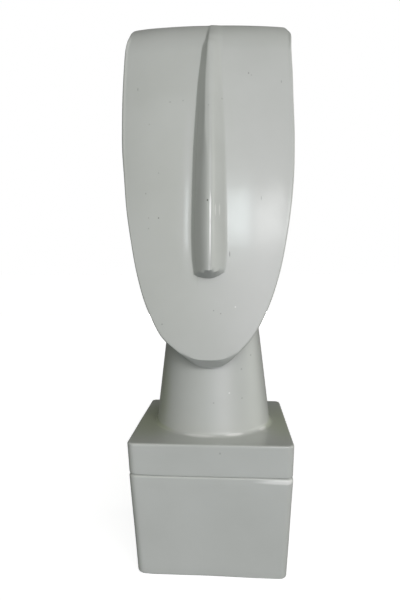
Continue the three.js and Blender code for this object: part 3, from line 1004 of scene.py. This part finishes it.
# Place, half width and half height in millimetres, strength, and half depth where it isn't the usual
MARKS = (
    Mark(MarkKind.PIT, (-2.9, -64.0, 397.2), 1.1, 1.6, 1.0),
    Mark(MarkKind.PIT, (-57.6, -42.0, 381.4), 1.1, 1.2, 0.8),
    Mark(MarkKind.PIT, (-72.8, -34.5, 409.1), 1.0, 1.2, 0.45),
    Mark(MarkKind.PIT, (-68.9, -40.3, 381.7), 0.9, 1.0, 0.4),
    Mark(MarkKind.PIT, (-68.7, -42.4, 370.0), 0.9, 1.1, 0.4),
    Mark(MarkKind.PIT, (-58.6, -32.4, 431.7), 0.9, 1.0, 0.35),
    Mark(MarkKind.PIT, (-85.3, -7.8, 531.4), 0.9, 2.6, 0.45),
    Mark(MarkKind.PIT, (-47.1, -17.6, 513.1), 1.8, 1.0, 0.35),
    Mark(MarkKind.PIT, (-32.3, -18.6, 513.9), 1.2, 1.0, 0.35),
    Mark(MarkKind.PIT, (-70.6, -19.5, 488.4), 1.0, 1.2, 0.35),
    Mark(MarkKind.PIT, (-2.7, -39.3, 501.7), 0.9, 1.2, 0.3),
    Mark(MarkKind.PIT, (11.4, -21.0, 514.1), 1.0, 1.3, 0.35),
    Mark(MarkKind.PIT, (41.0, -9.9, 545.2), 1.0, 1.5, 0.6),
    Mark(MarkKind.PIT, (44.2, -10.0, 542.9), 0.9, 1.0, 0.4),
    Mark(MarkKind.PIT, (78.1, -5.6, 536.4), 0.8, 2.4, 0.4),
    Mark(MarkKind.PIT, (54.3, -37.4, 402.2), 0.7, 3.2, 0.45),
    Mark(MarkKind.PIT, (3.2, -62.8, 281.6), 1.0, 1.0, 0.5),
    Mark(MarkKind.PIT, (10.7, -63.0, 278.5), 1.0, 1.0, 0.5),
    Mark(MarkKind.PIT, (-51.9, -62.3, 266.9), 1.1, 1.1, 0.5),
    Mark(MarkKind.PIT, (20.1, -52.0, 341.4), 0.7, 4.2, 0.8),
    Mark(MarkKind.PIT, (43.4, -33.3, 229.5), 1.0, 1.2, 0.45),
    Mark(MarkKind.PIT, (32.9, -44.8, 215.9), 1.2, 1.0, 0.45),
    Mark(MarkKind.PIT, (33.5, -48.9, 184.7), 1.2, 1.0, 0.4),
    Mark(MarkKind.PIT, (2.8, -58.9, 181.5), 1.2, 1.0, 0.4),
    Mark(MarkKind.PIT, (10.4, -86.7, 136.6), 1.5, 1.5, 0.35),
    # painted highlights: the bright line down the nose's ridge, then two faint light streaks on the
    # nose's right plane
    Mark(MarkKind.PALE_SPECK_AND_HIGHLIGHT, (0.1, -61.5, 386.0), 1.4, 24.0, 0.9, 16.0),
    Mark(MarkKind.PALE_SPECK_AND_HIGHLIGHT, (0.1, -67.5, 357.0), 1.1, 32.0, 0.75, 16.0),
    Mark(MarkKind.PALE_SPECK_AND_HIGHLIGHT, (5.3, -59.7, 387.3), 1.0, 9.0, 0.28),
    Mark(MarkKind.PALE_SPECK_AND_HIGHLIGHT, (9.3, -53.8, 387.9), 1.1, 9.0, 0.28),
    # two small pale specks
    Mark(MarkKind.PALE_SPECK_AND_HIGHLIGHT, (26.1, -61.0, 285.4), 1.1, 1.1, 0.6),
    Mark(MarkKind.PALE_SPECK_AND_HIGHLIGHT, (19.7, -54.6, 191.5), 1.2, 1.2, 0.5),
    # painted highlight along the glossy bead round the neck's foot
    Mark(MarkKind.PALE_SPECK_AND_HIGHLIGHT, (26.0, -59.6, 147.4), 17.0, 1.7, 0.6),
    Mark(MarkKind.PALE_SPECK_AND_HIGHLIGHT, (59.0, -38.5, 147.0), 9.0, 1.9, 0.55, 14.0),
    Mark(MarkKind.PALE_SPECK_AND_HIGHLIGHT, (-14.0, -63.5, 146.8), 26.0, 1.5, 0.35, 12.0),
    # painted highlight along the plinth block's rounded top edge, to the right
    Mark(MarkKind.PALE_SPECK_AND_HIGHLIGHT, (77.0, -86.0, 106.8), 38.0, 3.2, 0.62),
    # painted shade, tinted green: the cap's top on both sides of the neck, and the neck's left side
    Mark(MarkKind.PAINTED_SHADE, (-72.0, -5.0, 147.0), 46.0, 4.0, 0.9, 100.0),
    Mark(MarkKind.PAINTED_SHADE, (82.0, 0.0, 147.0), 38.0, 4.0, 0.65, 100.0),
    Mark(MarkKind.PAINTED_SHADE, (-62.0, -10.0, 185.0), 24.0, 60.0, 0.6, 60.0),
)


@dataclass(frozen=True)
class Glaze:
    """A pale grey glossy glaze over a cast body."""

    name: str
    colour: tuple = (0.56, 0.575, 0.545)
    shade: tuple = (0.47, 0.485, 0.45)
    pit: tuple = (0.16, 0.165, 0.15)
    # pale specks, and painted highlights on the nose's ridge, round the neck's foot and along the
    # block's top edge
    pale: tuple = (0.9, 0.9, 0.87)
    # painted shade, tinted green, on the cap's top and the neck's left side
    painted_shade: tuple = (0.44, 0.475, 0.355)
    roughness: float = 0.14
    roughness_spread: float = 0.05
    cloudiness: float = 1.0
    wave_depth: float = 0.0006
    wave_strength: float = 0.5

    def material(self) -> bpy.types.Material:
        """Makes the material: cloudy colour, pits and pale specks, painted highlights and painted shade,
        uneven gloss and fine waves.

        Returns:
            The material.
        """
        made = bpy.data.materials.new(self.name)
        made.use_nodes = True
        nodes, links = made.node_tree.nodes, made.node_tree.links
        nodes.clear()
        out = nodes.new("ShaderNodeOutputMaterial")
        shader = nodes.new("ShaderNodeBsdfPrincipled")
        place = nodes.new("ShaderNodeTexCoord")
        cloud = nodes.new("ShaderNodeGroup")
        cloud.node_tree = glaze_cloud_group()
        cloud.inputs["Strength"].default_value = self.cloudiness
        tint = nodes.new("ShaderNodeMix")
        tint.data_type = "RGBA"
        tint.inputs["A"].default_value = (*self.colour, 1)
        tint.inputs["B"].default_value = (*self.shade, 1)
        spread = nodes.new("ShaderNodeMapRange")
        spread.inputs["To Min"].default_value = self.roughness
        spread.inputs["To Max"].default_value = self.roughness + self.roughness_spread
        bump = nodes.new("ShaderNodeBump")
        bump.inputs["Distance"].default_value = self.wave_depth
        bump.inputs["Strength"].default_value = self.wave_strength
        marks_and_light = nodes.new("ShaderNodeGroup")
        marks_and_light.node_tree = marks_group()
        links.new(place.outputs["Object"], cloud.inputs["Place"])
        links.new(cloud.outputs["Cloud"], tint.inputs["Factor"])
        links.new(place.outputs["Object"], marks_and_light.inputs["Place"])
        body = tint.outputs["Result"]
        # painted shade, then pits, then pale specks and painted highlights are laid over the cloudy
        # colour in turn
        layers = {MarkKind.PAINTED_SHADE: self.painted_shade, MarkKind.PIT: self.pit, MarkKind.PALE_SPECK_AND_HIGHLIGHT: self.pale}
        for kind, colour in layers.items():
            over = nodes.new("ShaderNodeMix")
            over.data_type = "RGBA"
            over.inputs["B"].default_value = (*colour, 1)
            links.new(marks_and_light.outputs[kind.value], over.inputs["Factor"])
            links.new(body, over.inputs["A"])
            body = over.outputs["Result"]
        links.new(body, shader.inputs["Base Color"])
        links.new(cloud.outputs["Dullness"], spread.inputs["Value"])
        links.new(spread.outputs["Result"], shader.inputs["Roughness"])
        links.new(cloud.outputs["Height"], bump.inputs["Height"])
        links.new(bump.outputs["Normal"], shader.inputs["Normal"])
        links.new(shader.outputs["BSDF"], out.inputs["Surface"])
        return made


# Scale and detail of the noises, and how much of the waves is fine
BROAD_CLOUDS = (14.0, 3.0)
FINE_WAVES = (90.0, 2.0)
FINE_WAVE_SHARE = 0.15


def glaze_cloud_group() -> bpy.types.NodeTree:
    """Makes the shared node group for the glaze's unevenness, once.

    Returns:
        A group that turns a place on the piece into a cloud mask, a dullness
        mask and a surface height.
    """
    name = "glaze_cloud"
    if name in bpy.data.node_groups:
        return bpy.data.node_groups[name]
    group = bpy.data.node_groups.new(name, "ShaderNodeTree")
    face = group.interface
    face.new_socket(name="Place", in_out="INPUT", socket_type="NodeSocketVector")
    face.new_socket(name="Strength", in_out="INPUT", socket_type="NodeSocketFloat")
    face.new_socket(name="Cloud", in_out="OUTPUT", socket_type="NodeSocketFloat")
    face.new_socket(name="Dullness", in_out="OUTPUT", socket_type="NodeSocketFloat")
    face.new_socket(name="Height", in_out="OUTPUT", socket_type="NodeSocketFloat")
    nodes, links = group.nodes, group.links
    enter = nodes.new("NodeGroupInput")
    leave = nodes.new("NodeGroupOutput")
    broad, fine = (nodes.new("ShaderNodeTexNoise") for _ in range(2))
    for noise, (scale, detail) in ((broad, BROAD_CLOUDS), (fine, FINE_WAVES)):
        noise.inputs["Scale"].default_value = scale
        noise.inputs["Detail"].default_value = detail
    weigh = nodes.new("ShaderNodeMath")
    weigh.operation = "MULTIPLY"
    total = nodes.new("ShaderNodeMath")
    total.operation = "MULTIPLY_ADD"
    total.inputs[1].default_value = FINE_WAVE_SHARE
    for texture in (broad, fine):
        links.new(enter.outputs["Place"], texture.inputs["Vector"])
    links.new(broad.outputs["Fac"], weigh.inputs[0])
    links.new(enter.outputs["Strength"], weigh.inputs[1])
    links.new(fine.outputs["Fac"], total.inputs[0])
    links.new(weigh.outputs["Value"], total.inputs[2])
    links.new(weigh.outputs["Value"], leave.inputs["Cloud"])
    links.new(fine.outputs["Fac"], leave.inputs["Dullness"])
    links.new(total.outputs["Value"], leave.inputs["Height"])
    return group


def marks_group() -> bpy.types.NodeTree:
    """Makes the shared node group for the small marks, once.

    Each mark has its full strength in its oval's core and fades to 0 at the
    rim; of several marks of one kind the strongest counts.

    Returns:
        A group that turns a place on the piece into masks of pits, of painted shade, and of pale specks
        with painted highlights.
    """
    name = "glaze_marks_and_painted_light"
    if name in bpy.data.node_groups:
        return bpy.data.node_groups[name]
    group = bpy.data.node_groups.new(name, "ShaderNodeTree")
    face = group.interface
    face.new_socket(name="Place", in_out="INPUT", socket_type="NodeSocketVector")
    for kind in MarkKind:
        face.new_socket(name=kind.value, in_out="OUTPUT", socket_type="NodeSocketFloat")
    nodes, links = group.nodes, group.links
    enter = nodes.new("NodeGroupInput")
    leave = nodes.new("NodeGroupOutput")
    totals = {}
    for mark in MARKS:
        apart = nodes.new("ShaderNodeVectorMath")
        apart.operation = "SUBTRACT"
        apart.inputs[1].default_value = tuple(c * MM for c in mark.place)
        scaled = nodes.new("ShaderNodeVectorMath")
        scaled.operation = "MULTIPLY"
        reach = (mark.half_width, mark.half_depth, mark.half_height)
        scaled.inputs[1].default_value = tuple(1 / (c * MM) for c in reach)
        away = nodes.new("ShaderNodeVectorMath")
        away.operation = "LENGTH"
        fade = nodes.new("ShaderNodeMapRange")
        fade.interpolation_type = "SMOOTHSTEP"
        fade.inputs["From Min"].default_value = 1.0
        fade.inputs["From Max"].default_value = mark.core
        fade.inputs["To Max"].default_value = mark.strength
        links.new(enter.outputs["Place"], apart.inputs[0])
        links.new(apart.outputs["Vector"], scaled.inputs[0])
        links.new(scaled.outputs["Vector"], away.inputs[0])
        links.new(away.outputs["Value"], fade.inputs["Value"])
        share = fade.outputs["Result"]
        if mark.kind in totals:
            strongest = nodes.new("ShaderNodeMath")
            strongest.operation = "MAXIMUM"
            links.new(totals[mark.kind], strongest.inputs[0])
            links.new(share, strongest.inputs[1])
            share = strongest.outputs["Value"]
        totals[mark.kind] = share
    for kind, share in totals.items():
        links.new(share, leave.inputs[kind.value])
    return group


# Studio


def direction(azimuth: float, elevation: float) -> Array:
    """Gives the way from the head toward a place round it.

    Args:
        azimuth: degrees from straight in front of the face, growing to the
            photograph's right.
        elevation: degrees above the horizon.

    Returns:
        A vector of length 1.
    """
    az, el = np.radians(azimuth), np.radians(elevation)
    return np.array([np.sin(az) * np.cos(el), -np.cos(az) * np.cos(el), np.sin(el)])


@dataclass(frozen=True)
class AreaLight:
    """A soft rectangular light placed round the head by direction."""

    name: str
    azimuth: float
    elevation: float
    distance: float
    width: float
    height: float
    power: float
    colour: tuple = (1.0, 1.0, 1.0)
    target: tuple = (0.0, 0.0, 0.38)
    mirrored: bool = True

    def place(self) -> bpy.types.Object:
        """Adds the light, turned toward its target.

        Returns:
            The light's object.
        """
        data = bpy.data.lights.new(self.name, "AREA")
        data.shape = "RECTANGLE"
        data.size = self.width
        data.size_y = self.height
        data.energy = self.power
        data.color = self.colour
        light = bpy.data.objects.new(self.name, data)
        az = np.radians(self.azimuth)
        way = direction(self.azimuth, self.elevation)
        side = np.array([np.cos(az), np.sin(az), 0.0])
        rise = np.cross(way, side)
        place = np.eye(4)
        place[:3, 0], place[:3, 1], place[:3, 2] = side, rise, way
        place[:3, 3] = np.array(self.target) + self.distance * way
        light.matrix_world = Matrix(place.tolist())
        light.visible_camera = False
        light.visible_glossy = self.mirrored
        bpy.context.scene.collection.objects.link(light)
        return light


@dataclass(frozen=True)
class Glow:
    """A broad soft part of the room's light, brightest in one direction."""

    azimuth: float
    elevation: float
    sharpness: float
    colour: tuple

    def strength(self, tree: bpy.types.NodeTree, way: bpy.types.NodeSocket) -> bpy.types.NodeSocket:
        """Adds nodes for the glow: the cosine from its middle, raised to its sharpness.

        Args:
            tree: the world's node tree.
            way: the direction looked in.

        Returns:
            The socket with the glow's colour in that direction.
        """
        nodes, links = tree.nodes, tree.links
        cosine = nodes.new("ShaderNodeVectorMath")
        cosine.operation = "DOT_PRODUCT"
        cosine.inputs[1].default_value = direction(self.azimuth, self.elevation)
        ahead = nodes.new("ShaderNodeMath")
        ahead.operation = "MAXIMUM"
        ahead.inputs[1].default_value = 0.0
        fall = nodes.new("ShaderNodeMath")
        fall.operation = "POWER"
        fall.inputs[1].default_value = self.sharpness
        tinted = nodes.new("ShaderNodeVectorMath")
        tinted.operation = "SCALE"
        tinted.inputs[0].default_value = self.colour
        links.new(way, cosine.inputs[0])
        links.new(cosine.outputs["Value"], ahead.inputs[0])
        links.new(ahead.outputs["Value"], fall.inputs[0])
        links.new(fall.outputs["Value"], tinted.inputs["Scale"])
        return tinted.outputs["Vector"]


@dataclass(frozen=True)
class Studio:
    """The camera, the lights and the pale floor."""

    focal_pixels: float = 493.23
    long_side_pixels: float = 600.0
    sensor_mm: float = 36.0
    camera_mm: tuple = (23.14, -581.8, 325.86)
    yaw: float = -0.066
    pitch: float = 0.0633
    roll: float = 0.0037
    # azimuth and elevation in degrees, then distance, width and height in metres, and watts
    lights: tuple = (
        AreaLight("window_left_pane", 11.2, 26.0, 3.0, 0.58, 0.42, 6.6, (0.88, 0.97, 1.0)),
        AreaLight("window_right_pane", 26.5, 25.0, 3.0, 0.70, 0.42, 5.6, (0.97, 0.99, 1.0)),
        AreaLight("back_fill", 195.0, -5.0, 3.0, 2.6, 0.22, 48.0, mirrored=False),
    )
    # azimuth and elevation in degrees, sharpness, and brightness in red, green and blue
    glows: tuple = (
        Glow(23.6, 17.5, 11.86, (3.16, 3.00, 3.20)),
        Glow(-20.8, 28.1, 11.86, (1.46, 1.50, 1.33)),
        Glow(6.1, -18.7, 10.43, (0.58, 0.67, 0.74)),
        Glow(97.7, 13.3, 10.69, (2.00, 2.05, 1.87)),
        Glow(180.0, -35.0, 3.0, (0.24, 0.24, 0.235)),
    )
    wall: tuple = (1.0, 1.0, 1.0)
    nearest_seen: float = 0.01
    floor_half: float = 30.0
    floor_tone: float = 0.5
    floor_roughness: float = 0.9
    floor_glow: float = 0.84

    def camera(self) -> bpy.types.Object:
        """Adds the camera: looks along +Y, turned by yaw, tipped down by pitch, rolled.

        Returns:
            The camera's object.
        """
        cy, sy = np.cos(self.yaw), np.sin(self.yaw)
        cp, sp = np.cos(self.pitch), np.sin(self.pitch)
        cr, sr = np.cos(self.roll), np.sin(self.roll)
        ahead = np.array([sy, cy, 0.0])
        side = np.array([cy, -sy, 0.0])
        down = np.array([0.0, 0.0, -1.0])
        view = cp * ahead + sp * down
        low = cp * down - sp * ahead
        place = np.eye(4)
        place[:3, 0] = cr * side + sr * low
        place[:3, 1] = -(cr * low - sr * side)
        place[:3, 2] = -view
        place[:3, 3] = np.array(self.camera_mm) * MM
        data = bpy.data.cameras.new("camera")
        data.sensor_width = self.sensor_mm
        data.lens = self.focal_pixels / self.long_side_pixels * self.sensor_mm
        data.clip_start = self.nearest_seen
        camera = bpy.data.objects.new("camera", data)
        camera.matrix_world = Matrix(place.tolist())
        bpy.context.scene.collection.objects.link(camera)
        bpy.context.scene.camera = camera
        return camera

    def floor(self) -> bpy.types.Object:
        """Adds a wide pale floor, whose own glow carries it over into the pale wall.

        Returns:
            The floor's object.
        """
        half = self.floor_half
        corners = np.array([(-half, -half, 0), (half, -half, 0), (half, half, 0), (-half, half, 0)])
        floor = make_piece("floor", corners / MM, [[0, 1, 2, 3]])
        paint = bpy.data.materials.new("pale_floor")
        paint.use_nodes = True
        shader = paint.node_tree.nodes["Principled BSDF"]
        shader.inputs["Base Color"].default_value = (*3 * (self.floor_tone,), 1)
        shader.inputs["Roughness"].default_value = self.floor_roughness
        shader.inputs["Emission Color"].default_value = (1, 1, 1, 1)
        shader.inputs["Emission Strength"].default_value = self.floor_glow
        floor.data.materials.append(paint)
        floor.visible_diffuse = False
        floor.visible_glossy = False
        floor.visible_shadow = False
        return floor

    def sky(self) -> None:
        """Sets the room's soft light, and the pale wall that only the camera sees."""
        world = bpy.data.worlds.new("room")
        world.use_nodes = True
        nodes, links = world.node_tree.nodes, world.node_tree.links
        light = nodes["Background"]
        wall = nodes.new("ShaderNodeBackground")
        wall.inputs["Color"].default_value = (*self.wall, 1)
        way = nodes.new("ShaderNodeTexCoord")
        total = None
        for glow in self.glows:
            share = glow.strength(world.node_tree, way.outputs["Generated"])
            if total is not None:
                both = nodes.new("ShaderNodeVectorMath")
                both.operation = "ADD"
                links.new(total, both.inputs[0])
                links.new(share, both.inputs[1])
                share = both.outputs["Vector"]
            total = share
        links.new(total, light.inputs["Color"])
        path = nodes.new("ShaderNodeLightPath")
        choose = nodes.new("ShaderNodeMixShader")
        links.new(path.outputs["Is Camera Ray"], choose.inputs["Fac"])
        links.new(light.outputs["Background"], choose.inputs[1])
        links.new(wall.outputs["Background"], choose.inputs[2])
        links.new(choose.outputs["Shader"], nodes["World Output"].inputs["Surface"])
        bpy.context.scene.world = world

    def build(self) -> None:
        """Sets up the whole studio."""
        self.camera()
        self.floor()
        self.sky()
        for light in self.lights:
            light.place()
        bpy.context.scene.view_settings.view_transform = "Standard"


def finish_piece(piece: bpy.types.Object, node: str, glaze: Glaze) -> None:
    """Dresses a piece and puts it in the place of its solid.

    Args:
        piece: the fine piece.
        node: the solid's name.
        glaze: the finish.
    """
    piece.data.materials.clear()
    piece.data.materials.append(glaze.material())
    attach(piece, "root")
    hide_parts(node)
    LOG.info("%s: %d faces", piece.name, len(piece.data.polygons))


def main() -> None:
    """Builds the pieces and the studio, and logs each piece's face count."""
    logging.basicConfig(level=logging.INFO, format="%(name)s: %(message)s")
    upper = make_piece("upper_casting", *Head().build())
    union(upper, make_piece("neck_and_cap", *NeckAndCap().build()))
    upper.data.polygons.foreach_set("use_smooth", np.ones(len(upper.data.polygons), bool))
    mark_creases(upper, CREASE_DEGREES)
    finish_piece(upper, "head_neck_and_cap", Glaze("glaze_upper"))

    block = make_piece("lower_block", *PlinthBlock().build())
    mark_creases(block, CREASE_DEGREES)
    finish_piece(block, "plinth_block", Glaze("glaze_block"))

    Studio().build()


if __name__ == "__main__":
    main()
